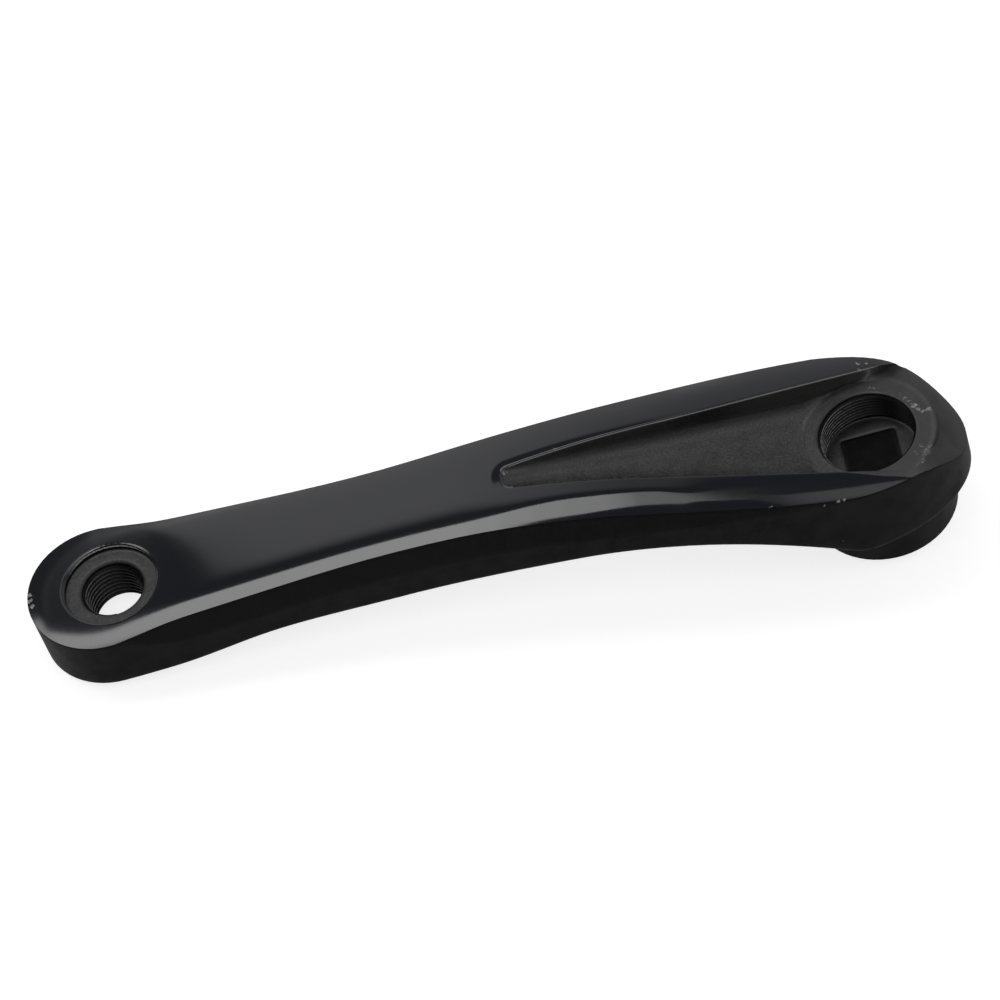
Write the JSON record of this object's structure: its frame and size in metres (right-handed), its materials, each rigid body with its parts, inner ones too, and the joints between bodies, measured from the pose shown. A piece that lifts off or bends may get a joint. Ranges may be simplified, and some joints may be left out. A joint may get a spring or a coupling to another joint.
{
  "type": "bicycle crank arm",
  "caption": "Left bicycle crank arm: a bent, crowned black aluminium forging with a pedal eye, a tapering recess and a square-taper spindle boss.",
  "frame": {"origin": "centre of the boss's inner face, on the spindle axis", "axes": "+Z along the spindle axis, out of the extractor mouth; the arm reaches along -X to the pedal axis"},
  "size_m": [0.2104, 0.0412, 0.0435],
  "materials": {
    "black_aluminium": "black: polished outer face, matte sides, recess and hub"
  },
  "bodies": {
    "root": {"crank_arm": "black_aluminium"}
  },
  "joints": []
}
